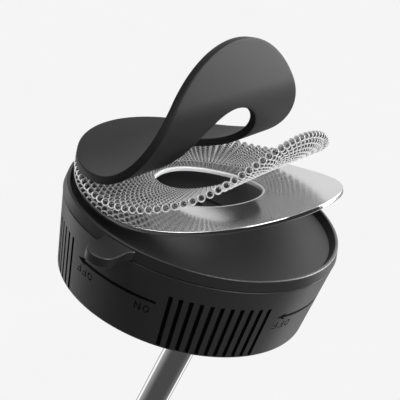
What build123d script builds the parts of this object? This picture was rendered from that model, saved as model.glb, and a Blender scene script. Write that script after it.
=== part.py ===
from build123d import *
import os
from math import atan2, cos, degrees, pi, radians, sin, sqrt

# Twist-lock vacuum mount, suction side up.
# Millimetres. +Z is the suction side, the origin is the centre of the suction cup's rim plane.

os.makedirs("parts", exist_ok=True)

# ---------------------------------------------------------------- driving dimensions
rim_radius = 35.0  # outer edge of the cup's lip, z = 0
lip_width = 0.8
band_radius = 35.5  # lower edge of the cup's side band
band_height = 2.6
cup_underside_z = -3.5
dish_foot_radius = 33.2  # where the lip's inner wall meets the dish
dish_foot_z = -1.9
dish_mid_radius = 24.0
dish_mid_z = -2.75
dish_inner_z = -2.9
core_gap_radius = 9.6  # the dish is open here, round the moving core
core_radius = 9.2
core_top_z = -3.3
core_dimple_radius = 1.6
core_dimple_place = (-2.0, 5.4)
core_dimple_depth = 0.45

tab_azimuth = -116.8
tab_reach = 44.3
tab_width = 7.5
tab_corner = 3.5
tab_root_width = 12.0  # where the tab flares into the side band
tab_flare_end = 38.5
tab_top_z = -0.5
tab_bottom_z = -3.0
tab_edge = 0.35

ring_top_z = -2.9
ring_bottom_z = -23.3
ring_top_radius = 35.4
ring_bottom_radius = 32.7
ring_bore_radius = 31.0
ring_counterbore_radius = 33.4
ring_shoulder_z = -6.0
rib_slot_width = 1.0
rib_slot_depth = 0.9
rib_slot_top_z = -8.0
rib_slot_bottom_z = -22.8
rib_slots_per_group = 11
rib_slot_pitch = 4.0  # degrees
group_azimuth = -52.0  # last slot of the front group
groups = 4

mark_depth = 0.45
arrow_z = -11.2
arrow_width = 0.9
arrow_tip_offset = 5.5  # degrees past a group's last slot
arrow_tail_offset = 45.0
arrow_head_length = 3.2
arrow_head_width = 2.2
letter_height = 2.0
letter_width = 1.55
letter_stroke = 0.3
letter_pitch = 2.15
letter_z = -13.8
off_offset = 10.5  # degrees past a group's last slot
on_offset = 40.0

plate_radius = 33.0
plate_bottom_z = -5.7
tube_inner_radius = 13.8
tube_outer_radius = 15.8
cap_top_z = -20.0
cap_bottom_z = -22.2
cap_radius = 30.4
cap_screw_circle = 11.4
cap_screw_radius = 0.8
cap_screw_top_z = -17.6
screw_boss_radius = 2.6
screw_boss_top_z = -17.0

sleeve_inner_radius = 15.9
sleeve_outer_radius = 18.0
sleeve_top_z = -8.5
web_top_z = -18.1
web_bottom_z = -19.5
lock_turn = 40.0  # degrees from OFF to ON
lift_travel = 3.0

lift_plate_radius = 12.9
lift_plate_top_z = -4.5
lift_plate_bottom_z = -6.0
stud_radius = 3.0
boss_radius = 8.0
boss_top_z = -10.4
boss_bottom_z = -13.6
follower_z = -12.0
follower_radius = 1.2
follower_half_length = 17.9
spring_radius = 6.0
spring_wire_radius = 0.5
spring_turns = 3

turret_top_z = -22.5
turret_bottom_z = -24.7
turret_radius = 13.0
swivel_bolt_radius = 2.0
swivel_bolt_top_z = -17.0
swivel_head_radius = 3.8
running_gap = 0.06  # radial clearance of the pins that turn

pivot_x = 7.0
pivot_z = -30.0
ear_radius = 4.8
ear_inner_y = 4.55
ear_outer_y = 7.3
hinge_bolt_radius = 2.0
knuckle_radius = 4.6
knuckle_half_width = 3.9
rod_tilt = 9.4  # degrees from straight down, towards -X
rod_radius = 4.0
rod_bore_radius = 2.5
rod_start = 6.0  # along the rod from the pivot
rod_end = 60.0
plug_length = 9.0
collar_length = 3.0
collar_radius = 4.0
end_stud_radius = 3.0
end_stud_length = 9.0

# The three loose layers peel away from the base towards this azimuth, on one slightly tilted frame.
peel_azimuth = -28.0
stack_tilt = 1.0
steel_bottom = 0.75
steel_thickness = 1.1
beads_bottom = 2.25
beads_thickness = 1.7
pad_bottom = 4.6
pad_thickness = 2.0
steel_centre = (-1.0, 1.8)  # along the peel direction, across it
beads_centre = (-3.0, 3.1)
pad_centre = (-3.1, 1.9)
steel_radii = (34.0, 13.85)
beads_radii = (33.8, 13.2)
pad_radii = (32.7, 15.5)
# Each bend is (where it starts, bend radius), None for a straight run, measured along the flat sheet.
steel_bends = [(-15.0, 77.0), (9.0, 121.5)]
beads_bends = [(-14.0, 43.5), (16.0, 23.6)]
pad_bends = [(-24.0, 43.0), (-9.0, 19.5), (20.0, None)]
bond_station = -27.5
bond_radius = 2.5
bond_root_z = -2.5  # the lower bond's foot, sunk into the dish


# ---------------------------------------------------------------- helpers
def finish(builder, node):
    """Label a finished piece and write it."""
    builder.part.label = node
    export_step(builder.part, f"parts/{node}.step")


def polar(radius, azimuth, z):
    """A point from its radius, azimuth in degrees and height."""
    return Vector(radius * cos(radians(azimuth)), radius * sin(radians(azimuth)), z)


def wall_radius(z):
    """Outer radius of the twist ring's tapered wall at a height."""
    share = (z - ring_top_z) / (ring_bottom_z - ring_top_z)
    return ring_top_radius + share * (ring_bottom_radius - ring_top_radius)


def wall_skin(depth):
    """The ring wall's outermost layer, of one depth, a little taller than the wall."""
    top, bottom = ring_top_z + 1, ring_bottom_z - 1
    with BuildPart() as skin:
        with BuildSketch(Plane.XZ):
            with BuildLine():
                Polyline(
                    (wall_radius(top) - depth, top),
                    (wall_radius(top) + 2, top),
                    (wall_radius(bottom) + 2, bottom),
                    (wall_radius(bottom) - depth, bottom),
                    close=True,
                )
            make_face()
        revolve(axis=Axis.Z)
    return skin.part


def label_plane(azimuth, z):
    """Plane on the ring wall whose text reads the right way up with the suction side down."""
    outward = polar(1, azimuth, 0)
    reading = Vector(outward.Y, -outward.X, 0)
    return Plane(origin=polar(wall_radius(z) + 1, azimuth, z), x_dir=reading, z_dir=outward)


def draw_letter(letter, x):
    """One plain capital, O, F or N, in the sketch being built, centred at x."""
    half_w, half_h = letter_width / 2, letter_height / 2
    if letter == "O":
        with Locations((x, 0)):
            Ellipse(half_w, half_h)
            Ellipse(half_w - letter_stroke, half_h - letter_stroke, mode=Mode.SUBTRACT)
        return
    with Locations((x - half_w + letter_stroke / 2, 0)):
        Rectangle(letter_stroke, letter_height)
    if letter == "F":
        with Locations((x, half_h - letter_stroke / 2)):
            Rectangle(letter_width, letter_stroke)
        with Locations((x - letter_stroke / 2, 0)):
            Rectangle(letter_width - letter_stroke, letter_stroke)
    if letter == "N":
        with Locations((x + half_w - letter_stroke / 2, 0)):
            Rectangle(letter_stroke, letter_height)
        lean = degrees(atan2(letter_width - letter_stroke, letter_height))
        with Locations(Location((x, 0, 0), (0, 0, lean))):
            Rectangle(letter_stroke, letter_height)


peel = Vector(cos(radians(peel_azimuth)), sin(radians(peel_azimuth)), 0)
across_flat = Vector(-peel.Y, peel.X, 0)
across = across_flat * cos(radians(stack_tilt)) + Vector(0, 0, sin(radians(stack_tilt)))
stack_up = peel.cross(across)


def stack_point(along, over, height):
    """A point of the layer stack's tilted frame, in the object's frame."""
    return peel * along + across * over + stack_up * height


def bent_station(station, bends):
    """Where a flat sheet's station ends up: distance along, height and slope angle."""
    x, z, angle = bends[0][0], 0.0, 0.0
    if station <= x:
        return station, z, angle
    ends = [start for start, _ in bends[1:]] + [station]
    for (start, radius), end in zip(bends, ends):
        length = min(station, end) - start
        if length <= 0:
            break
        if radius is None:
            x += length * cos(angle)
            z += length * sin(angle)
            continue
        turned = angle + length / radius
        x += radius * (sin(turned) - sin(angle))
        z += radius * (cos(angle) - cos(turned))
        angle = turned
    return x, z, angle


def bent_disc(radius, centre, bends, bottom, top, sections=26):
    """A round plate bent like a sheet, lofted through rectangles that cross the peel direction."""
    with BuildPart() as disc:
        for k in range(sections + 1):
            station = -radius * cos(pi * (k + 0.3) / (sections + 0.6))
            half_width = sqrt(radius**2 - station**2)
            x, z, angle = bent_station(station, bends)
            forward = peel * cos(angle) + stack_up * sin(angle)
            origin = stack_point(centre[0] + x, centre[1], z)
            with BuildSketch(Plane(origin=origin, x_dir=across, z_dir=forward)):
                with Locations((0, (bottom + top) / 2)):
                    Rectangle(2 * half_width, top - bottom)
        loft(ruled=True)
    return disc.part


def bent_annulus(node, radii, centre, bends, bottom, thickness):
    """A bent ring-shaped layer, written as one piece. Heights are measured before it bends."""
    lifted = (centre, bends)
    offset = stack_up * bottom
    outer = bent_disc(radii[0], *lifted, 0, thickness).moved(Location(offset))
    hole = bent_disc(radii[1], *lifted, -1, thickness + 1).moved(Location(offset))
    with BuildPart() as layer:
        add(outer)
        add(hole, mode=Mode.SUBTRACT)
    finish(layer, node)


# ---------------------------------------------------------------- suction cup and its core
def tab_flare(root):
    """Face that widens the tab's root with a hollow curve on each side, along +X."""
    half_root, half_tab = tab_root_width / 2, tab_width / 2
    middle = ((root + tab_flare_end) / 2 - 0.6, (half_root + half_tab) / 2 - 0.6)
    with BuildSketch() as flare:
        with BuildLine():
            Line((root, -half_root), (root, half_root))
            ThreePointArc((root, half_root), middle, (tab_flare_end, half_tab))
            Line((tab_flare_end, half_tab), (tab_flare_end, -half_tab))
            ThreePointArc((tab_flare_end, -half_tab), (middle[0], -middle[1]), (root, -half_root))
        make_face()
    return flare.sketch


def make_suction_cup():
    """The fixed ring of the rubber cup: lip, dish, side band and pull tab."""
    tab_root = rim_radius - 1.5
    with BuildPart() as cup:
        with BuildSketch(Plane.XZ):
            with BuildLine():
                Polyline(
                    (core_gap_radius, dish_inner_z),
                    (core_gap_radius, cup_underside_z),
                    (plate_radius + 0.2, cup_underside_z),
                    (plate_radius + 0.2, -band_height),
                    (band_radius, -band_height),
                    (rim_radius, 0),
                    (rim_radius - lip_width, 0),
                    (dish_foot_radius, dish_foot_z),
                )
                ThreePointArc(
                    (dish_foot_radius, dish_foot_z),
                    (dish_mid_radius, dish_mid_z),
                    (core_gap_radius, dish_inner_z),
                )
            make_face()
        revolve(axis=Axis.Z)
        lip_edges = cup.edges().filter_by(GeomType.CIRCLE).group_by(Axis.Z)[-1]
        fillet(lip_edges, radius=0.25)
    with BuildPart() as tab:
        with BuildSketch(Plane.XY.offset(tab_bottom_z)):
            with Locations(Location((0, 0, 0), (0, 0, tab_azimuth))):
                with Locations(((tab_root + tab_reach) / 2, 0)):
                    RectangleRounded(tab_reach - tab_root, tab_width, tab_corner)
                add(tab_flare(tab_root))
        extrude(amount=tab_top_z - tab_bottom_z)
        fillet(tab.edges().group_by(Axis.Z)[-1] + tab.edges().group_by(Axis.Z)[0], radius=tab_edge)
        with BuildSketch(Plane.XY.offset(tab_bottom_z)):
            Circle(band_radius + 0.4)
        extrude(amount=-band_height - tab_bottom_z, mode=Mode.SUBTRACT)
        with BuildSketch(Plane.XY.offset(-band_height)):
            Circle(rim_radius - 0.5)
        extrude(amount=band_height + tab_top_z, mode=Mode.SUBTRACT)
    with BuildPart() as whole:
        add(cup.part)
        add(tab.part)
    finish(whole, "suction_cup")


def make_cup_core():
    """The centre of the cup, pulled down by the lift plate to make the vacuum."""
    with BuildPart() as core:
        with BuildSketch(Plane.XY.offset(lift_plate_top_z)):
            Circle(core_radius)
        extrude(amount=core_top_z - lift_plate_top_z)
        fillet(core.edges().group_by(Axis.Z)[-1], radius=0.4)
        with Locations((*core_dimple_place, core_top_z)):
            Hole(core_dimple_radius, depth=core_dimple_depth)
    finish(core, "cup_core")


# ---------------------------------------------------------------- housing and cap
def make_housing():
    """Fixed base: the plate under the cup, the slotted guide tube and three screw bosses."""
    slot_top = follower_z + follower_radius + 0.3
    slot_bottom = follower_z - lift_travel - follower_radius - 0.3
    with BuildPart() as housing:
        with BuildSketch(Plane.XY.offset(plate_bottom_z)):
            Circle(plate_radius)
            Circle(tube_inner_radius, mode=Mode.SUBTRACT)
        extrude(amount=cup_underside_z - plate_bottom_z)
        with BuildSketch(Plane.XY.offset(cap_top_z)):
            Circle(tube_outer_radius)
            Circle(tube_inner_radius, mode=Mode.SUBTRACT)
        extrude(amount=plate_bottom_z - cap_top_z)
        with BuildSketch(Plane.XY.offset(cap_top_z)):
            with PolarLocations(cap_screw_circle, 3):
                Circle(screw_boss_radius)
        extrude(amount=screw_boss_top_z - cap_top_z)
        with BuildSketch(Plane.XY.offset(cap_top_z)):
            with PolarLocations(cap_screw_circle, 3):
                Circle(cap_screw_radius)
        extrude(amount=screw_boss_top_z - cap_top_z, mode=Mode.SUBTRACT)
        with Locations((0, 0, (slot_top + slot_bottom) / 2)):
            Box(2 * follower_radius + 0.2, 3 * tube_outer_radius, slot_top - slot_bottom,
                mode=Mode.SUBTRACT)
    finish(housing, "housing")


def make_base_cap():
    """Bottom cover, screwed to the guide tube, with the swivel's bore."""
    with BuildPart() as cap:
        with BuildSketch(Plane.XY.offset(cap_bottom_z)):
            Circle(cap_radius)
            Circle(swivel_bolt_radius + running_gap, mode=Mode.SUBTRACT)
        extrude(amount=cap_top_z - cap_bottom_z)
        chamfer(cap.edges().group_by(Axis.Z)[0].sort_by(SortBy.LENGTH)[-1], length=0.5)
        with BuildSketch(Plane.XY.offset(cap_bottom_z)):
            with PolarLocations(cap_screw_circle, 3):
                Circle(cap_screw_radius)
        extrude(amount=cap_top_z - cap_bottom_z, mode=Mode.SUBTRACT)
        with BuildSketch(Plane.XY.offset(cap_bottom_z)):
            with PolarLocations(cap_screw_circle, 3):
                Circle(2 * cap_screw_radius)
        extrude(amount=0.9, mode=Mode.SUBTRACT)
    finish(cap, "base_cap")


def make_cap_screws():
    """Three cap screws with crossed recesses, heads sunk flush into the cap."""
    with BuildPart() as screws:
        with BuildSketch(Plane.XY.offset(cap_bottom_z)):
            with PolarLocations(cap_screw_circle, 3):
                Circle(2 * cap_screw_radius)
        extrude(amount=0.9)
        with BuildSketch(Plane.XY.offset(cap_bottom_z + 0.9)):
            with PolarLocations(cap_screw_circle, 3):
                Circle(cap_screw_radius)
        extrude(amount=cap_screw_top_z - cap_bottom_z - 0.9)
        with BuildSketch(Plane.XY.offset(cap_bottom_z)):
            with PolarLocations(cap_screw_circle, 3):
                Rectangle(2.0, 0.45)
                Rectangle(0.45, 2.0)
        extrude(amount=0.5, mode=Mode.SUBTRACT)
    finish(screws, "cap_screws")


def flat_washer(node, bottom_z, top_z, outer, inner):
    """A plain flat washer about the main axis."""
    with BuildPart() as washer:
        with BuildSketch(Plane.XY.offset(bottom_z)):
            Circle(outer)
            Circle(inner, mode=Mode.SUBTRACT)
        extrude(amount=top_z - bottom_z)
    finish(washer, node)


# ---------------------------------------------------------------- twist ring and cam
def rib_slots():
    """The four groups of vertical grip slots, cut to one depth below the wall."""
    start = group_azimuth - (rib_slots_per_group - 1) * rib_slot_pitch
    with BuildPart() as slots:
        with BuildSketch(Plane.XY.offset(rib_slot_bottom_z)):
            for group in range(groups):
                for k in range(rib_slots_per_group):
                    azimuth = start + 360 / groups * group + k * rib_slot_pitch
                    with Locations(Location((0, 0, 0), (0, 0, azimuth))):
                        with Locations((ring_top_radius, 0)):
                            Rectangle(10, rib_slot_width)
        extrude(amount=rib_slot_top_z - rib_slot_bottom_z)
        add(wall_skin(rib_slot_depth), mode=Mode.INTERSECT)
    return slots.part


def wall_marks():
    """Arrows from ON to OFF and the two words, as shallow grooves in each gap between groups."""
    tip = group_azimuth + arrow_tip_offset
    tail = group_azimuth + arrow_tail_offset
    with BuildPart() as marks:
        for group in range(groups):
            turn = 360 / groups * group
            line_start = tip + turn + degrees(0.6 * arrow_head_length / wall_radius(arrow_z))
            with BuildSketch(Plane.XZ.rotated((0, 0, line_start))):
                with Locations((wall_radius(arrow_z), arrow_z)):
                    Rectangle(4, arrow_width)
            revolve(axis=Axis.Z, revolution_arc=tail + turn - line_start)
            with BuildSketch(label_plane(tip + turn, arrow_z)):
                with BuildLine():
                    Polyline(
                        (0, 0),
                        (-arrow_head_length, arrow_head_width / 2),
                        (-arrow_head_length * 0.7, 0),
                        (-arrow_head_length, -arrow_head_width / 2),
                        close=True,
                    )
                make_face()
            extrude(amount=-4)
            for word, offset in (("OFF", off_offset), ("ON", on_offset)):
                with BuildSketch(label_plane(group_azimuth + offset + turn, letter_z)):
                    for k, letter in enumerate(word):
                        draw_letter(letter, (k - (len(word) - 1) / 2) * letter_pitch)
                extrude(amount=-4)
        add(wall_skin(mark_depth), mode=Mode.INTERSECT)
    return marks.part


def make_twist_ring():
    """The knurled ring that is turned by hand."""
    with BuildPart() as ring:
        with BuildSketch(Plane.XZ):
            with BuildLine():
                Polyline(
                    (ring_counterbore_radius, ring_top_z),
                    (ring_top_radius, ring_top_z),
                    (ring_bottom_radius, ring_bottom_z),
                    (ring_bore_radius, ring_bottom_z),
                    (ring_bore_radius, ring_shoulder_z),
                    (ring_counterbore_radius, ring_shoulder_z),
                    close=True,
                )
            make_face()
        revolve(axis=Axis.Z)
        outer_bottom = ring.edges().group_by(Axis.Z)[0].sort_by(SortBy.LENGTH)[-1]
        outer_top = ring.edges().group_by(Axis.Z)[-1].sort_by(SortBy.LENGTH)[-1]
        fillet(outer_bottom, radius=0.9)
        fillet(outer_top, radius=0.3)
        add(rib_slots(), mode=Mode.SUBTRACT)
        add(wall_marks(), mode=Mode.SUBTRACT)
    finish(ring, "twist_ring")


def make_cam_sleeve():
    """The cam inside the ring: a sleeve with a sloping slot on each side, on a wide web."""
    steps = 16
    with BuildPart() as sleeve:
        with BuildSketch(Plane.XY.offset(web_bottom_z)):
            Circle(ring_bore_radius)
            Circle(sleeve_inner_radius, mode=Mode.SUBTRACT)
        extrude(amount=web_top_z - web_bottom_z)
        with BuildSketch(Plane.XY.offset(web_top_z)):
            Circle(sleeve_outer_radius)
            Circle(sleeve_inner_radius, mode=Mode.SUBTRACT)
        extrude(amount=sleeve_top_z - web_top_z)
        for k in range(steps + 1):
            azimuth = 90 - lock_turn * k / steps
            direction = polar(1, azimuth, 0)
            height = follower_z - lift_travel * k / steps
            start = direction * -(sleeve_outer_radius + 2) + Vector(0, 0, height)
            with BuildSketch(Plane(origin=start, z_dir=direction)):
                Circle(follower_radius + 0.25)
            extrude(amount=2 * (sleeve_outer_radius + 2), mode=Mode.SUBTRACT)
    finish(sleeve, "cam_sleeve")


# ---------------------------------------------------------------- lift carriage
def make_lift_plate():
    """Plate under the core, its stud, and the boss that the follower pin crosses."""
    with BuildPart() as lift:
        with BuildSketch(Plane.XY.offset(lift_plate_bottom_z)):
            Circle(lift_plate_radius)
        extrude(amount=lift_plate_top_z - lift_plate_bottom_z)
        with BuildSketch(Plane.XY.offset(boss_top_z)):
            Circle(stud_radius)
        extrude(amount=lift_plate_bottom_z - boss_top_z)
        with BuildSketch(Plane.XY.offset(boss_bottom_z)):
            Circle(boss_radius)
        extrude(amount=boss_top_z - boss_bottom_z)
        with BuildSketch(Plane.XZ.offset(-boss_radius - 1)):
            with Locations((0, follower_z)):
                Circle(follower_radius)
        extrude(amount=2 * boss_radius + 2, mode=Mode.SUBTRACT)
    finish(lift, "lift_plate")


def make_follower_pin():
    """Cross pin that rides in the cam slots and the guide tube's slots."""
    with BuildPart() as pin:
        with BuildSketch(Plane.XZ.offset(-follower_half_length)):
            with Locations((0, follower_z)):
                Circle(follower_radius)
        extrude(amount=2 * follower_half_length)
        chamfer(pin.edges(), length=0.25)
    finish(pin, "follower_pin")


def make_return_spring():
    """Coil that pushes the carriage back up when the ring is turned to OFF."""
    bottom = cap_top_z + spring_wire_radius
    height = boss_bottom_z - spring_wire_radius - bottom
    with BuildPart() as spring:
        with BuildLine(Plane.XY.offset(bottom)):
            coil = Helix(pitch=height / spring_turns, height=height, radius=spring_radius)
        with BuildSketch(Plane(origin=coil @ 0, z_dir=coil % 0)):
            Circle(spring_wire_radius)
        sweep(path=coil, is_frenet=True)
    finish(spring, "return_spring")


# ---------------------------------------------------------------- swivel turret and hinge
def make_turret():
    """Disc that swivels under the cap, with the two ears of the arm's hinge."""
    with BuildPart() as turret:
        with BuildSketch(Plane.XY.offset(turret_bottom_z)):
            Circle(turret_radius)
        extrude(amount=turret_top_z - turret_bottom_z)
        chamfer(turret.edges().group_by(Axis.Z)[0], length=0.5)
        for side in (-1, 1):
            inner, outer = side * ear_inner_y, side * ear_outer_y
            near = max(inner, outer)
            with BuildSketch(Plane.XZ.offset(-near)):
                with Locations((pivot_x, (pivot_z + turret_top_z - 1) / 2)):
                    Rectangle(2 * ear_radius, turret_top_z - 1 - pivot_z)
                with Locations((pivot_x, pivot_z)):
                    Circle(ear_radius)
            extrude(amount=ear_outer_y - ear_inner_y)
        with BuildSketch(Plane.XZ.offset(-ear_outer_y - 1)):
            with Locations((pivot_x, pivot_z)):
                Circle(hinge_bolt_radius)
        extrude(amount=2 * ear_outer_y + 2, mode=Mode.SUBTRACT)
        with BuildSketch(Plane.XY.offset(turret_bottom_z)):
            Circle(swivel_bolt_radius)
        extrude(amount=turret_top_z - turret_bottom_z, mode=Mode.SUBTRACT)
        with BuildSketch(Plane.XY.offset(turret_bottom_z)):
            Circle(swivel_head_radius)
        extrude(amount=1.3, mode=Mode.SUBTRACT)
    finish(turret, "swivel_turret")


def make_swivel_bolt():
    """Swivel axle with a sunk socket head, pressed into the turret."""
    with BuildPart() as bolt:
        with BuildSketch(Plane.XY.offset(turret_bottom_z)):
            Circle(swivel_head_radius)
        extrude(amount=1.3)
        with BuildSketch(Plane.XY.offset(turret_bottom_z)):
            Circle(swivel_bolt_radius)
        extrude(amount=swivel_bolt_top_z - turret_bottom_z)
        with BuildSketch(Plane.XY.offset(turret_bottom_z)):
            RegularPolygon(1.6, 6)
        extrude(amount=0.9, mode=Mode.SUBTRACT)
    finish(bolt, "swivel_bolt")


def hex_nut_z(node, bottom_z, top_z, bore):
    """Hexagonal nut on the main axis."""
    with BuildPart() as nut:
        with BuildSketch(Plane.XY.offset(bottom_z)):
            RegularPolygon(4.0, 6)
            Circle(bore, mode=Mode.SUBTRACT)
        extrude(amount=top_z - bottom_z)
    finish(nut, node)


def make_hinge_bolt():
    """Hinge pin with a socket head at the front and a threaded end for the nut."""
    with BuildPart() as bolt:
        with BuildSketch(Plane.XZ.offset(ear_outer_y)):
            with Locations((pivot_x, pivot_z)):
                Circle(3.4)
        extrude(amount=2.2)
        fillet(bolt.edges().group_by(Axis.Y)[0], radius=0.4)
        with BuildSketch(Plane.XZ.offset(ear_outer_y)):
            with Locations((pivot_x, pivot_z)):
                Circle(hinge_bolt_radius)
        extrude(amount=-(2 * ear_outer_y + 3.4))
        with BuildSketch(Plane.XZ.offset(ear_outer_y + 2.2)):
            with Locations((pivot_x, pivot_z)):
                RegularPolygon(1.7, 6)
        extrude(amount=-1.3, mode=Mode.SUBTRACT)
    finish(bolt, "hinge_bolt")


def make_hinge_nut():
    """Nut that sets the hinge's friction."""
    with BuildPart() as nut:
        with BuildSketch(Plane.XZ.offset(-ear_outer_y)):
            with Locations((pivot_x, pivot_z)):
                RegularPolygon(4.0, 6)
                Circle(hinge_bolt_radius, mode=Mode.SUBTRACT)
        extrude(amount=-2.6)
    finish(nut, "hinge_nut")


def make_friction_washers():
    """A washer on each side of the knuckle, filling most of the gap to the ears."""
    thickness = ear_inner_y - knuckle_half_width - 0.05
    with BuildPart() as washers:
        for start in (-ear_inner_y + 0.02, ear_inner_y - 0.02 - thickness):
            with BuildSketch(Plane.XZ.offset(-start)):
                with Locations((pivot_x, pivot_z)):
                    Circle(knuckle_radius - 0.3)
                    Circle(hinge_bolt_radius + 0.05, mode=Mode.SUBTRACT)
            extrude(amount=-thickness)
    finish(washers, "friction_washers")


# ---------------------------------------------------------------- arm
arm_down = Vector(-sin(radians(rod_tilt)), 0, -cos(radians(rod_tilt)))
pivot = Vector(pivot_x, 0, pivot_z)


def arm_plane(distance):
    """Plane across the rod, at a distance from the pivot, facing its free end."""
    return Plane(origin=pivot + arm_down * distance, x_dir=(0, 1, 0), z_dir=arm_down)


def make_knuckle():
    """Eye of the hinge, its neck, and the spigot pressed into the rod."""
    with BuildPart() as knuckle:
        with BuildSketch(Plane.XZ.offset(-knuckle_half_width)):
            with Locations((pivot_x, pivot_z)):
                Circle(knuckle_radius)
        extrude(amount=2 * knuckle_half_width)
        with BuildSketch(arm_plane(0)):
            Circle(rod_radius - 0.3)
        extrude(amount=rod_start)
        with BuildSketch(arm_plane(rod_start)):
            Circle(rod_bore_radius)
        extrude(amount=plug_length)
        with BuildSketch(Plane.XZ.offset(-knuckle_half_width - 1)):
            with Locations((pivot_x, pivot_z)):
                Circle(hinge_bolt_radius + running_gap)
        extrude(amount=2 * knuckle_half_width + 2, mode=Mode.SUBTRACT)
    finish(knuckle, "rod_knuckle")


def make_rod():
    """Straight chromed tube."""
    with BuildPart() as rod:
        with BuildSketch(arm_plane(rod_start)):
            Circle(rod_radius)
            Circle(rod_bore_radius, mode=Mode.SUBTRACT)
        extrude(amount=rod_end - rod_start)
        circles = rod.edges().filter_by(GeomType.CIRCLE)
        chamfer(circles.filter_by(lambda edge: edge.radius > rod_bore_radius + 0.1), length=0.3)
    finish(rod, "arm_rod")


def make_end_fitting():
    """Plug in the rod's free end, with a collar and a stud that another part screws onto."""
    with BuildPart() as fitting:
        with BuildSketch(arm_plane(rod_end - plug_length)):
            Circle(rod_bore_radius)
        extrude(amount=plug_length)
        with BuildSketch(arm_plane(rod_end)):
            Circle(collar_radius)
        extrude(amount=collar_length)
        with BuildSketch(arm_plane(rod_end + collar_length)):
            Circle(end_stud_radius)
        extrude(amount=end_stud_length)
    finish(fitting, "rod_end_fitting")


# ---------------------------------------------------------------- peeled layers
def make_bond(node, centre, low, high):
    """A round spot of adhesive between two layers, near the edge where they stay together."""
    foot = stack_point(centre[0] + bond_station, centre[1], low)
    with BuildPart() as bond:
        with BuildSketch(Plane(origin=foot, x_dir=across, z_dir=stack_up)):
            Circle(bond_radius)
        extrude(amount=high - low)
    finish(bond, node)


def make_layers():
    """Steel disc, bead layer and contact pad, with the adhesive between them."""
    steel_top = steel_bottom + steel_thickness
    beads_top = beads_bottom + beads_thickness
    bent_annulus("spring_steel_disc", steel_radii, steel_centre, steel_bends,
                 steel_bottom, steel_thickness)
    bent_annulus("bead_layer", beads_radii, beads_centre, beads_bends,
                 beads_bottom, beads_thickness)
    bent_annulus("contact_pad", pad_radii, pad_centre, pad_bends, pad_bottom, pad_thickness)
    make_bond("lower_bond", steel_centre, bond_root_z, steel_bottom)
    make_bond("middle_bond", steel_centre, steel_top, beads_bottom)
    make_bond("upper_bond", steel_centre, beads_top, pad_bottom)


make_suction_cup()
make_cup_core()
make_housing()
make_base_cap()
make_cap_screws()
flat_washer("thrust_washer", cap_top_z, web_bottom_z - 0.1, 26.0, 20.0)
make_twist_ring()
make_cam_sleeve()
make_lift_plate()
make_follower_pin()
make_return_spring()
make_turret()
make_swivel_bolt()
flat_washer("swivel_washer", turret_top_z, cap_bottom_z - 0.05, 11.0, 4.0)
flat_washer("spring_washer", cap_top_z + 0.05, cap_top_z + 0.5, 4.2, swivel_bolt_radius)
hex_nut_z("swivel_nut", cap_top_z + 0.5, cap_top_z + 2.7, swivel_bolt_radius)
make_hinge_bolt()
make_hinge_nut()
make_friction_washers()
make_knuckle()
make_rod()
make_end_fitting()
make_layers()
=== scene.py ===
"""Looks of the twist-lock vacuum mount, suction side up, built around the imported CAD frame."""

from math import cos, pi, radians, sin

import bmesh
import bpy
import numpy as np
from mathutils import Euler, Matrix, Vector


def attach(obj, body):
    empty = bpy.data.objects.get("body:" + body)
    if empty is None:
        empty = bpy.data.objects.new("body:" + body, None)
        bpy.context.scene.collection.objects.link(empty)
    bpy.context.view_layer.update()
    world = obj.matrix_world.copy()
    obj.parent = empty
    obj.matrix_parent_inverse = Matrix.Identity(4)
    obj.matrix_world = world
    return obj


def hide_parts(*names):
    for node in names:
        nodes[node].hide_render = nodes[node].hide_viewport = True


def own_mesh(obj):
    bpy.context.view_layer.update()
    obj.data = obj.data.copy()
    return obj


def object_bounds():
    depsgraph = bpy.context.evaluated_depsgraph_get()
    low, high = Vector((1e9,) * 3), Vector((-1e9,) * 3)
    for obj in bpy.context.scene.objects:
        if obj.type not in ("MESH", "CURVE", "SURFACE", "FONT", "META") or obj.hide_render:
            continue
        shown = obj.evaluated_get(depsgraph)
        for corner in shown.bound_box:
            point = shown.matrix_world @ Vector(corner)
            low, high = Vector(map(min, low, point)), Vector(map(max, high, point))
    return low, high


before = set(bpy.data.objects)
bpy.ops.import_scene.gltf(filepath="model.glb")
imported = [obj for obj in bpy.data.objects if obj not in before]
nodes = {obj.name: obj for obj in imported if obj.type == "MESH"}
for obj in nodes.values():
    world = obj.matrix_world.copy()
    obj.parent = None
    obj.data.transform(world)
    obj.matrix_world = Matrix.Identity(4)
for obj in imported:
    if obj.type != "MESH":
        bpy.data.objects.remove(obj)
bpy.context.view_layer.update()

MM = 0.001

# ---------------------------------------------------------------- driving values, millimetres and degrees
PEEL_AZIMUTH = -28.0  # the loose layers rise towards this side
STACK_TILT = 1.0  # the layers' lean across the peel

# A layer is a ring: its outer and hole radii, its centre along and across the peel, the heights of
# its faces, the radius of its rounded edges, and its bends, each a start along the peel from the
# centre and the radius of the arc from there on (None is straight).
STEEL = {"radii": (34.0, 13.85), "centre": (-1.0, 1.8), "low": 0.75, "high": 1.85, "edge": 0.20,
         "bends": [(-15.0, 77.0), (9.0, 121.5)]}
PAD = {"radii": (32.7, 15.5), "centre": (-3.1, 1.9), "low": 4.6, "high": 6.6, "edge": 0.30,
       "bends": [(-24.0, 43.0), (-9.0, 19.5), (20.0, None)]}
BEADS = {"radii": (33.8, 13.2), "centre": (-3.0, 3.1), "low": 2.25, "high": 3.95,
         "bends": [(-14.0, 43.5), (16.0, 23.6)]}
LAYER_SPANS = 26  # across a layer's width
LAYER_TURNS = 240  # round its centre
CORNER_POINTS = 5  # round each corner of its section

BEADS_PER_RING = 96
BEAD_RINGS = 16
BEAD_FILL = 0.90  # a bead's width in pitches
SPOKE_STEP = 0.86  # the step from ring to ring in pitches
BEAD_AROUND, BEAD_DOWN = 10, 6  # faces round a bead and from pole to pole

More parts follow.
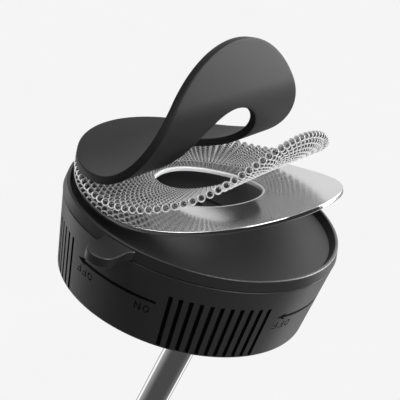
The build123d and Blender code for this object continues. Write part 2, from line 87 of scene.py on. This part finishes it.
# The return spring stands on the base cap at low and carries the lift plate's boss at high, which
# comes down by travel. Radius is the coil's and wire is half of the wire's thickness.
SPRING = {"radius": 6.0, "wire": 0.5, "turns": 3, "low": -20.0, "high": -13.6, "travel": 3.0}
SPRING_STATIONS = 145  # along the wire
WIRE_POINTS = 12  # round it
WELD_GAP = 0.001

WALL_TOP = (35.4, -2.9)  # radius and height of the lock ring's tapered wall at its two ends
WALL_FOOT = (32.7, -23.3)
BORE_RADIUS = 31.0
SLOT_FOOT, SLOT_HEAD = -22.9, -6.5  # heights between which the wall has sunk marks

# ---------------------------------------------------------------- studio values
CAMERA_PLACE = (0, -227.08, 107.34)
CAMERA_ELEVATION, CAMERA_HEADING, CAMERA_ROLL = 25.17, -0.36, -16.52
LENS, SENSOR = 90, 36
PAPER_TONE = 0.912
FLOOR_GAP = 4.0  # from the lowest piece to the floor
FLOOR_REACH = 6000.0

# Each softbox: its place, the length of its side, its watts, and whether polished faces mirror it.
SOFTBOXES = {
    "high_right_softbox": ((221.6, -185.9, 344.7), 260, 1.7, True),
    "high_left_softbox": ((-236.9, -165.9, 344.7), 260, 0.8, True),
    "back_right_softbox": ((233.9, 334.1, 190.2), 260, 0.8, True),
    "near_right_softbox": ((190, 130, 70), 120, 0.40, True),
    "low_left_softbox": ((-389.7, 0, -225), 450, 1.2, False),
    "low_right_softbox": ((363.0, -254.2, 78.1), 260, 1.0, False),
}

# Surrounding panels, as a share of white. Each edge is where a panel fades in, as two values of a
# direction's height (the first three) or of how far it points backwards in plan (the others).
FLOOR_EDGE, MIDDLE_EDGE, CEILING_EDGE = (-0.15, -0.05), (0.2, 0.3), (0.65, 0.75)
BEHIND_EDGE, BESIDE_EDGE, GLOW_EDGE = (0.73, 0.83), (0.34, 0.44), (-0.70, 0.30)
RIGHT_EDGE = (-0.3, 0.3)  # how far a direction points to the right
ROOM_TONE, CEILING_TONE = 0.03, 0.5
LOW_TONE, LOW_BEHIND_TONE, LOW_BESIDE_TONE = 0.05, 0.34, 1.10
GLOW_TONE, GLOW_FALL = 0.30, 0.18  # the glow from the left and how much less it is from the right
MIDDLE_TONE, HIGH_TONE = 0.82, 0.85


# ---------------------------------------------------------------- camera and studio
def make_camera():
    """Camera 25 degrees above the rim plane, rolled so that the mount leans to the right."""
    data = bpy.data.cameras.new("studio_camera")
    data.lens = LENS
    data.sensor_width = SENSOR
    data.clip_start = 0.01
    camera = bpy.data.objects.new("studio_camera", data)
    bpy.context.scene.collection.objects.link(camera)
    turn = Euler((radians(90 - CAMERA_ELEVATION), 0, radians(-CAMERA_HEADING)), "XYZ").to_matrix()
    turn = turn @ Matrix.Rotation(radians(-CAMERA_ROLL), 3, "Z")
    camera.matrix_world = Matrix.Translation(Vector(CAMERA_PLACE) * MM) @ turn.to_4x4()
    bpy.context.scene.camera = camera


def make_light(name, place, side, watts, mirrored):
    """A soft square light at a place in millimetres, turned towards the middle of the cup's rim."""
    data = bpy.data.lights.new(name, "AREA")
    data.shape = "RECTANGLE"
    data.size = data.size_y = side * MM
    data.energy = watts
    light = bpy.data.objects.new(name, data)
    light.location = Vector(place) * MM
    light.rotation_euler = (-Vector(place)).to_track_quat("-Z", "Y").to_euler()
    light.visible_glossy = mirrored
    bpy.context.scene.collection.objects.link(light)


# ---------------------------------------------------------------- meshes
def grid_object(name, points, wrap_u=True):
    """A mesh object from a grid of points, shape (u, v, 3), in millimetres.

    Each cell of the grid is a face. The grid closes on itself along v, and along u if it wraps.
    """
    count_u, count_v = points.shape[:2]
    index = np.arange(count_u * count_v).reshape(count_u, count_v)
    rows = np.arange(count_u if wrap_u else count_u - 1)
    i, j = np.meshgrid(rows, np.arange(count_v), indexing="ij")
    next_i, next_j = (i + 1) % count_u, (j + 1) % count_v
    quads = np.stack([index[i, j], index[next_i, j], index[next_i, next_j], index[i, next_j]], -1)
    return mesh_object(name, points.reshape(-1, 3), quads.reshape(-1, 4))


def mesh_object(name, points, faces):
    """A smooth mesh object from points in millimetres and an array of faces, wound outwards.

    The faces have the same number of corners. Their winding is turned round if the signed volume
    that their corners enclose with the origin comes out negative.
    """
    corners = points[faces]
    volume = np.einsum("ij,ij->i", corners[:, 0], np.cross(corners[:, 1], corners[:, 2])).sum()
    if volume < 0:
        faces = faces[:, ::-1]
    mesh = bpy.data.meshes.new(name)
    mesh.from_pydata((points * MM).tolist(), [], faces.tolist())
    mesh.polygons.foreach_set("use_smooth", np.ones(len(mesh.polygons), bool))
    mesh.update()
    made = bpy.data.objects.new(name, mesh)
    bpy.context.scene.collection.objects.link(made)
    return made


def weld(piece):
    """Merge points that lie together, so that a pole is one point."""
    work = bmesh.new()
    work.from_mesh(piece.data)
    bmesh.ops.remove_doubles(work, verts=work.verts, dist=WELD_GAP * MM)
    work.to_mesh(piece.data)
    work.free()


# ---------------------------------------------------------------- shader expressions
class Signal:
    """A shader value. Operators on it add Math nodes and give the new value."""

    def __init__(self, finish, socket):
        self.finish = finish
        self.socket = socket

    def math(self, operation, other, swap=False):
        """The operation on this value and another, or on the other and this one."""
        inputs = {0: other, 1: self} if swap else {0: self, 1: other}
        return self.finish.node("ShaderNodeMath", {"operation": operation}, inputs)

    def __add__(self, other):
        return self.math("ADD", other)

    __radd__ = __add__

    def __sub__(self, other):
        return self.math("SUBTRACT", other)

    def __rsub__(self, other):
        return self.math("SUBTRACT", other, swap=True)

    def __mul__(self, other):
        return self.math("MULTIPLY", other)

    __rmul__ = __mul__

    def __truediv__(self, other):
        return self.math("DIVIDE", other)

    def __pow__(self, other):
        return self.math("POWER", other)

    def between(self, low, high):
        """0 below low, 1 above high, and a smooth step between them."""
        settings = {"interpolation_type": "SMOOTHSTEP"}
        inputs = {"Value": self, "From Min": low, "From Max": high}
        return self.finish.node("ShaderNodeMapRange", settings, inputs)


class NodeBook:
    """A node tree and the one way in which its nodes are made."""

    def __init__(self, tree):
        self.tree = tree

    def node(self, kind, settings, inputs, output=0):
        """Add a node: its settings first, then the values or links of its sockets."""
        made = self.tree.nodes.new(kind)
        for key, value in settings.items():
            setattr(made, key, value)
        for key, value in inputs.items():
            self.feed(made.inputs[key], value)
        return Signal(self, made.outputs[output])

    def feed(self, socket, value):
        """Link a signal or a bare socket, or set a constant."""
        if isinstance(value, Signal):
            value = value.socket
        if isinstance(value, bpy.types.NodeSocket):
            self.tree.links.new(value, socket)
        else:
            socket.default_value = value

    def axes(self, vector):
        """The three components of a vector."""
        return [self.node("ShaderNodeSeparateXYZ", {}, {0: vector}, output=k) for k in range(3)]


class Finish(NodeBook):
    """One procedural material and the nodes that make it."""

    def __init__(self, name):
        self.material = bpy.data.materials.new(name)
        self.material.use_nodes = True
        super().__init__(self.material.node_tree)
        self.shader = self.tree.nodes["Principled BSDF"]
        self.place = self.node("ShaderNodeTexCoord", {}, {}, output="Object")

    def set(self, **inputs):
        """Set the surface shader's own sockets. Underscores stand for spaces."""
        for key, value in inputs.items():
            self.feed(self.shader.inputs[key.replace("_", " ")], value)

    def noise(self, size, detail=3.0, roughness=0.5, place=None):
        """Soft noise from 0 to 1 with lumps about size millimetres across."""
        inputs = {"Vector": place or self.place, "Scale": 1 / (size * MM), "Detail": detail,
                  "Roughness": roughness}
        return self.node("ShaderNodeTexNoise", {}, inputs)

    def stretched(self, factors):
        """Object coordinates scaled per axis."""
        inputs = {0: self.place, 1: factors}
        return self.node("ShaderNodeVectorMath", {"operation": "MULTIPLY"}, inputs)

    def blend(self, share, first, second):
        """Colour from first to second. Each is a triple or another colour."""
        colours = [value if isinstance(value, Signal) else (*value, 1) for value in (first, second)]
        inputs = {0: share, 6: colours[0], 7: colours[1]}
        return self.node("ShaderNodeMix", {"data_type": "RGBA"}, inputs, output=2)

    def facing(self):
        """0 where the surface faces the viewer, 1 at its rim."""
        return self.node("ShaderNodeLayerWeight", {}, {"Blend": 0.5}, output="Facing")

    def bump(self, height, depth):
        """Normal from a height of depth millimetres."""
        inputs = {"Height": height, "Distance": depth * MM, "Strength": 1.0}
        return self.node("ShaderNodeBump", {}, inputs)


def grey(value):
    """A neutral colour."""
    return (value, value, value)


def moulded(name, dark, light, roughness, grain=0.25, depth=0.012, sunk=None, shine=0.5):
    """Moulded plastic or rubber: slow tone changes, fine spark-eroded grain, uneven gloss.

    Sunk, when given, makes a mask from the finish, and its places are duller and darker: the darker tone
    is painted shade for the recesses.
    """
    slow_share, slow_gloss, fine_gloss = 0.6, 0.06, 0.08
    sunk_painted_shade, sunk_roughness = 0.12, 0.95
    finish = Finish(name)
    slow = finish.noise(9.0, 2.0)
    fine = finish.noise(grain, 2.0, 0.6)
    share = slow * slow_share + fine * (1 - slow_share)
    tone = finish.blend(share, grey(dark), grey(light))
    gloss = roughness + (slow - 0.5) * slow_gloss + (fine - 0.5) * fine_gloss
    if sunk:
        mask = sunk(finish)
        # Painted shade in the sunk places: a small share of the dark tone.
        tone = finish.blend(mask, tone, grey(dark * sunk_painted_shade))
        gloss = gloss + mask * (sunk_roughness - roughness)
    finish.set(Base_Color=tone, Roughness=gloss, Normal=finish.bump(fine, depth))
    finish.set(Specular_IOR_Level=shine)
    return finish.material


def below_wall(finish):
    """1 in the lock ring's slots, arrows and letters: nearer the axis than its tapered wall.

    The wall's radius grows by a fixed slope with height, and depth is that radius less the
    distance from the axis. Faces inside the bore, and above and below the marks, are left out.
    """
    shallow, deep, bore_fade, foot_fade, head_fade = 0.04, 0.12, 0.3, 0.1, 0.5
    x, y, z = finish.axes(finish.place)
    slope = (WALL_TOP[0] - WALL_FOOT[0]) / (WALL_TOP[1] - WALL_FOOT[1])
    wall = (z - WALL_TOP[1] * MM) * slope + WALL_TOP[0] * MM
    squared = x * x + y * y
    depth = wall - squared ** 0.5
    outside = squared.between((BORE_RADIUS * MM) ** 2, ((BORE_RADIUS + bore_fade) * MM) ** 2)
    above_foot = z.between(SLOT_FOOT * MM, (SLOT_FOOT + foot_fade) * MM)
    above_head = z.between(SLOT_HEAD * MM, (SLOT_HEAD + head_fade) * MM)
    return depth.between(shallow * MM, deep * MM) * outside * above_foot * (1 - above_head)


def metal(name, tone, roughness, size=0.4, stretch=(1, 1, 1), depth=0.003, spread=0.05):
    """Bare or plated metal with fine marks that follow one direction. No depth means no relief."""
    dulled, cloud_share = 0.93, 0.6
    finish = Finish(name)
    marks = finish.noise(size, 4.0, 0.65, finish.stretched(stretch))
    cloud = finish.noise(6.0, 2.0)
    finish.set(Base_Color=finish.blend(marks, grey(tone * dulled), grey(tone)), Metallic=1.0)
    finish.set(Roughness=roughness + (marks - 0.5) * spread + (cloud - 0.5) * (spread * cloud_share))
    if depth:
        finish.set(Normal=finish.bump(marks, depth))
    return finish.material


def clear_bead():
    """Clear gel beads, see-through in the middle, with light painted into their colour.

    The dark middle is painted shade that stands for the dark parts seen through a bead, and the bright
    rim is a painted highlight that also glows. Light from the upper right would gather on a bead's lower
    left side, so the painted highlight is brightest there.
    """
    rim_edge, side_edge = (0.14, 0.50), (-0.5, 0.6)
    highlight_side = (-0.55, -0.45, -0.70)
    # The painted highlight's share on the side away from the light, and the tone of its painted glow.
    least_painted_highlight, glow_tone = 0.25, 0.30
    clear_alpha, rim_alpha = 0.50, 0.45
    finish = Finish("clear_bead_gel")
    rim = finish.facing().between(*rim_edge)
    normal = finish.node("ShaderNodeNewGeometry", {}, {}, output="Normal")
    dot = {"operation": "DOT_PRODUCT"}
    side = finish.node("ShaderNodeVectorMath", dot, {0: normal, 1: highlight_side}, output="Value")
    # Painted highlight: the rim, brightest on the lower left side.
    painted_highlight = rim * (least_painted_highlight + side.between(*side_edge) * (1 - least_painted_highlight))
    cloud = finish.noise(1.5, 2.0)
    painted_highlight_tone = finish.blend(cloud, grey(0.85), grey(1.0))
    # Painted light in the base colour: a dark middle painted for what is seen through a bead, and the
    # painted highlight at the rim.
    finish.set(Base_Color=finish.blend(painted_highlight, grey(0.02), painted_highlight_tone))
    finish.set(Roughness=0.08 + cloud * 0.06, Alpha=clear_alpha + rim * rim_alpha, IOR=1.46)
    # Painted glow: the painted highlight also shines by emission.
    finish.set(Emission_Color=finish.blend(painted_highlight, grey(0.0), grey(glow_tone)), Emission_Strength=1.0)
    return finish.material


def rolled_steel():
    """Mirror-rolled spring steel. The sheared wall of its hole is pale and duller."""
    rolled_roughness, cut_roughness, cut_metal_loss = 0.14, 0.3, 0.8
    finish = Finish("rolled_spring_steel")
    cloud = finish.noise(12.0, 2.0)
    cut = finish.node("ShaderNodeAttribute", {"attribute_name": "cut_edge"}, {}, output="Fac")
    face = finish.blend(cloud, grey(0.66), grey(0.74))
    finish.set(Base_Color=finish.blend(cut, face, grey(0.90)), Metallic=1 - cut * cut_metal_loss)
    finish.set(Roughness=rolled_roughness + (cloud - 0.5) * 0.03 + cut * cut_roughness)
    return finish.material


# ---------------------------------------------------------------- bent layers
peel = np.array([cos(radians(PEEL_AZIMUTH)), sin(radians(PEEL_AZIMUTH)), 0])
flat_across = np.array([-peel[1], peel[0], 0])
across = flat_across * cos(radians(STACK_TILT)) + np.array([0, 0, sin(radians(STACK_TILT))])
stack_up = np.cross(peel, across)


def bend(station, bends):
    """Distance along, height and slope of a bent sheet at flat stations.

    The sheet is flat up to the first bend, then follows tangent arcs: an arc of radius R that
    starts at slope a and runs a length s ends at slope a + s / R, and moves by R times the
    change of the slope's sine along, and R times the drop of its cosine up.
    """
    station = np.asarray(station, float)
    along = np.minimum(station, bends[0][0])
    height = np.zeros_like(station)
    slope = np.zeros_like(station)
    ends = [start for start, _ in bends[1:]] + [np.inf]
    for (start, radius), end in zip(bends, ends):
        length = np.clip(np.minimum(station, end) - start, 0, None)
        if radius is None:
            along = along + length * np.cos(slope)
            height = height + length * np.sin(slope)
            continue
        turned = slope + length / radius
        along = along + radius * (np.sin(turned) - np.sin(slope))
        height = height + radius * (np.cos(slope) - np.cos(turned))
        slope = turned
    return along, height, slope


def lay_on(layer, along, over, lift):
    """Points of a layer: a flat point, along and over from its centre, lifted off its lower face.

    The flat point follows the bent line, and the lift follows the line's normal. Returns the
    points and the three unit directions of the bent sheet there.
    """
    x, z, slope = bend(along, layer["bends"])
    tangent = np.cos(slope)[..., None] * peel + np.sin(slope)[..., None] * stack_up
    normal = -np.sin(slope)[..., None] * peel + np.cos(slope)[..., None] * stack_up
    origin = peel * layer["centre"][0] + across * layer["centre"][1] + stack_up * layer["low"]
    points = origin + x[..., None] * peel + z[..., None] * stack_up
    points = points + np.asarray(over)[..., None] * across + np.asarray(lift)[..., None] * normal
    sideways = np.broadcast_to(across, tangent.shape)
    return points, np.stack([tangent, sideways, normal], -2)


def rounded_section(inner, outer, thickness, edge):
    """Closed outline of a ring's section, as radius and height: a rectangle with round edges.

    Each corner is a quarter circle of radius edge, and the two faces are divided evenly.
    """
    quarter = np.linspace(0, pi / 2, CORNER_POINTS)
    face = np.linspace(inner + edge, outer - edge, LAYER_SPANS + 1)[1:-1]
    corners = [(outer - edge, edge, -pi / 2), (outer - edge, thickness - edge, 0),
               (inner + edge, thickness - edge, pi / 2), (inner + edge, edge, pi)]
    arcs = [np.stack([r + edge * np.cos(quarter + a), h + edge * np.sin(quarter + a)], -1)
            for r, h, a in corners]
    top = np.stack([face[::-1], np.full_like(face, thickness)], -1)
    bottom = np.stack([face, np.zeros_like(face)], -1)
    return np.concatenate([bottom, arcs[0], arcs[1], top, arcs[2], arcs[3]])


def bent_ring(name, layer):
    """A ring-shaped sheet with rounded edges: its section is turned round the centre, then bent.

    The section's last two corners are the wall of the hole, marked by the cut_edge attribute.
    """
    outer, inner = layer["radii"]
    section = rounded_section(inner, outer, layer["high"] - layer["low"], layer["edge"])
    angle = np.linspace(0, 2 * pi, LAYER_TURNS, endpoint=False)[:, None]
    along = section[None, :, 0] * np.cos(angle)
    over = section[None, :, 0] * np.sin(angle)
    lift = np.broadcast_to(section[None, :, 1], along.shape)
    points, _ = lay_on(layer, along, over, lift)
    made = grid_object(name, points)
    cut = np.zeros(points.shape[:2], np.float32)
    cut[:, -2 * CORNER_POINTS:] = 1
    made.data.attributes.new("cut_edge", "FLOAT", "POINT").data.foreach_set("value", cut.ravel())
    return made


def small_ball():
    """Unit ball of few faces: rings of points at even angles, and a point at each pole."""
    around, down = BEAD_AROUND, BEAD_DOWN
    tilt = pi * np.arange(1, down)[:, None] / down
    turn = 2 * pi * np.arange(around)[None, :] / around
    rings = np.stack([np.sin(tilt) * np.cos(turn), np.sin(tilt) * np.sin(turn),
                      np.cos(tilt) * np.ones_like(turn)], -1).reshape(-1, 3)
    points = np.concatenate([rings, [[0, 0, 1], [0, 0, -1]]])
    i, j = np.meshgrid(np.arange(down - 2), np.arange(around), indexing="ij")
    a, b = i * around + j, i * around + (j + 1) % around
    walls = np.stack([a, a + around, b + around, b], -1).reshape(-1, 4)
    k = np.arange(around)
    top, low = (down - 1) * around, (down - 2) * around
    north = np.stack([np.full(around, top), k, (k + 1) % around], -1)
    south = np.stack([np.full(around, top + 1), low + (k + 1) % around, low + k], -1)
    triangles = np.concatenate([walls[:, [0, 1, 2]], walls[:, [0, 2, 3]], north, south])
    return points, triangles


def make_beads():
    """Rings of clear beads in straight spokes. Beads shrink with their ring towards the centre.

    A bead's pitch is its ring's circumference divided by the beads in it. Beads are a little
    narrower than that, and each ring's radius is a smaller step in, so a spoke's beads overlap.
    """
    outer = BEADS["radii"][0]
    pitch = 2 * pi / BEADS_PER_RING
    step = 1 - SPOKE_STEP * pitch
    ring = outer / (1 + pitch / 2) * step ** np.arange(BEAD_RINGS)
    turn = pitch * np.arange(BEADS_PER_RING)
    radius, angle = np.meshgrid(ring, turn, indexing="ij")
    radius, angle = radius.ravel(), angle.ravel()
    size = radius * pitch / 2 * BEAD_FILL
    lift = np.full_like(radius, (BEADS["high"] - BEADS["low"]) / 2)
    centre, directions = lay_on(BEADS, radius * np.cos(angle), radius * np.sin(angle), lift)
    ball, triangles = small_ball()
    points = centre[:, None] + size[:, None, None] * np.einsum("pk,nkc->npc", ball, directions)
    faces = triangles[None] + len(ball) * np.arange(len(radius))[:, None, None]
    return mesh_object("clear_bead_grid", points.reshape(-1, 3), faces.reshape(-1, 3))


# ---------------------------------------------------------------- return spring
def make_spring():
    """Open coil of round wire: a helix on the mount's axis, flat at each end of the wire.

    The middle line turns at a steady rate while it rises from the spring's foot to its top. The
    wire's circle lies across that line, in the plane of the outward direction and the line's
    own normal, and the last circle at each end is drawn in to one point.
    """
    low, high = SPRING["low"] + SPRING["wire"], SPRING["high"] - SPRING["wire"]
    turned = np.linspace(0, 2 * pi * SPRING["turns"], SPRING_STATIONS)
    rise = (high - low) / turned[-1]
    outward = np.stack([np.cos(turned), np.sin(turned), np.zeros_like(turned)], -1)
    middle = SPRING["radius"] * outward + np.array([0, 0, 1.0]) * (low + rise * turned)[:, None]
    along = np.stack([-np.sin(turned), np.cos(turned), np.full_like(turned, rise / SPRING["radius"])], -1)
    along = along / np.linalg.norm(along, axis=1, keepdims=True)
    upward = np.cross(outward, along)
    around = np.linspace(0, 2 * pi, WIRE_POINTS, endpoint=False)[None, :, None]
    circle = np.cos(around) * outward[:, None] + np.sin(around) * upward[:, None]
    points = middle[:, None] + SPRING["wire"] * circle
    tips = [np.broadcast_to(middle[k], (1,) + points.shape[1:]) for k in (0, -1)]
    made = grid_object("coiled_return_spring", np.concatenate([tips[0], points, tips[1]]), wrap_u=False)
    weld(made)
    return made


# ---------------------------------------------------------------- make everything
make_camera()

finishes = {
    # The lock ring's slots, arrows and letters get painted shade through below_wall.
    "ring": moulded("ring_black_plastic", 0.020, 0.025, 0.40, grain=0.22, depth=0.003, sunk=below_wall),
    "cap": moulded("cap_black_plastic", 0.020, 0.026, 0.40, grain=0.22, depth=0.006),
    "rubber": moulded("cup_black_rubber", 0.011, 0.014, 0.40, grain=0.30, depth=0.003, shine=0.60),
    "pad": moulded("pad_black_rubber", 0.010, 0.013, 0.46, grain=0.20, depth=0.002, shine=0.12),
    "housing": moulded("housing_dark_plastic", 0.05, 0.065, 0.45),
    "white": moulded("white_slip_plastic", 0.70, 0.80, 0.35, grain=0.5, depth=0.004),
    "adhesive": moulded("grey_adhesive", 0.20, 0.30, 0.60, grain=0.6, depth=0.03),
    "chrome": metal("polished_chrome", 0.82, 0.06, size=2.0, stretch=(1, 1, 0.2), depth=0, spread=0.02),
    "zinc": metal("zinc_plate", 0.60, 0.30, size=0.5),
    "ground": metal("ground_pin_steel", 0.55, 0.22, size=0.3, stretch=(1, 0.1, 1)),
    "steel": rolled_steel(),
    "bead": clear_bead(),
}

node_finish = {
    "twist_ring": "ring", "base_cap": "cap", "swivel_turret": "cap",
    "suction_cup": "rubber", "cup_core": "rubber",
    "lower_bond": "adhesive", "middle_bond": "adhesive", "upper_bond": "adhesive",
    "housing": "housing", "lift_plate": "housing",
    "cam_sleeve": "white", "thrust_washer": "white", "swivel_washer": "white",
    "friction_washers": "white",
    "cap_screws": "zinc", "swivel_bolt": "zinc", "swivel_nut": "zinc", "spring_washer": "zinc",
    "hinge_bolt": "zinc", "hinge_nut": "zinc",
    "follower_pin": "ground",
    "rod_knuckle": "chrome", "arm_rod": "chrome", "rod_end_fitting": "chrome",
}
for node, finish in node_finish.items():
    nodes[node].data.materials.clear()
    nodes[node].data.materials.append(finishes[finish])

steel = bent_ring("mirror_steel_disc", STEEL)
pad = bent_ring("curled_contact_pad", PAD)
beads = make_beads()
spring = make_spring()
for piece, node, slot, finish in (
    (steel, "spring_steel_disc", "mirror_steel", "steel"),
    (pad, "contact_pad", "pad_rubber", "pad"),
    (beads, "bead_layer", "clear_gel", "bead"),
    (spring, "return_spring", "spring_wire", "ground"),
):
    piece.data.materials.append(finishes[finish])
    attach(piece, "base")
    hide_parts(node)
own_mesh(spring)


# ---------------------------------------------------------------- floor and studio
def make_floor():
    """Plain pale floor under the rod. It shines evenly, and it can't be seen from underneath."""
    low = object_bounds()[0][2] / MM - FLOOR_GAP
    sides = FLOOR_REACH * np.array([[-1, -1], [1, -1], [1, 1], [-1, 1]])
    corners = np.column_stack([sides, np.full(4, low)])
    floor = mesh_object("pale_floor", corners, np.array([[0, 1, 2, 3]]))
    floor.data.flip_normals()  # an open sheet below the origin comes out facing down
    mottle = 0.008
    finish = Finish("pale_floor_paper")
    cloud = finish.noise(40.0, 3.0)
    paper = finish.blend(cloud, grey(PAPER_TONE - mottle), grey(PAPER_TONE + mottle))
    underside = finish.node("ShaderNodeNewGeometry", {}, {}, output="Backfacing")
    finish.set(Base_Color=(0, 0, 0, 1), Specular_IOR_Level=0.0, Alpha=1 - underside)
    finish.set(Emission_Color=paper, Emission_Strength=1.0)
    floor.data.materials.append(finish.material)
    floor.visible_glossy = False
    floor.visible_diffuse = False


def make_surroundings():
    """Soft light all round, from panels that are low down, in the middle, high up and overhead.

    Directly seen, the surroundings have the floor's tone.
    """
    world = bpy.data.worlds.new("studio")
    bpy.context.scene.world = world
    world.use_nodes = True
    book = NodeBook(world.node_tree)
    right, back, up = book.axes(book.node("ShaderNodeTexCoord", {}, {}, output="Generated"))
    backward = back / (right * right + back * back) ** 0.5
    above_floor = up.between(*FLOOR_EDGE)
    above_middle = up.between(*MIDDLE_EDGE)
    ceiling = up.between(*CEILING_EDGE)
    behind = backward.between(*BEHIND_EDGE)
    past_glow = backward.between(*BESIDE_EDGE)
    beside = past_glow - behind
    glow_tone = GLOW_TONE - right.between(*RIGHT_EDGE) * GLOW_FALL
    glow = backward.between(*GLOW_EDGE) * (1 - past_glow) * glow_tone
    low = (1 - above_floor) * (LOW_TONE + behind * LOW_BEHIND_TONE + beside * LOW_BESIDE_TONE + glow)
    middle = (above_floor - above_middle) * behind * MIDDLE_TONE
    high = (above_middle - ceiling) * behind * HIGH_TONE
    room = ROOM_TONE + low + middle + high + ceiling * CEILING_TONE
    seen = book.node("ShaderNodeLightPath", {}, {}, output="Is Camera Ray")
    background = book.tree.nodes["Background"]
    book.feed(background.inputs["Strength"], room * (1 - seen) + seen * PAPER_TONE)
    book.feed(background.inputs["Color"], (1, 1, 1, 1))


make_floor()
make_surroundings()
for name, (place, side, watts, mirrored) in SOFTBOXES.items():
    make_light(name, place, side, watts, mirrored)
bpy.context.scene.view_settings.view_transform = "Standard"
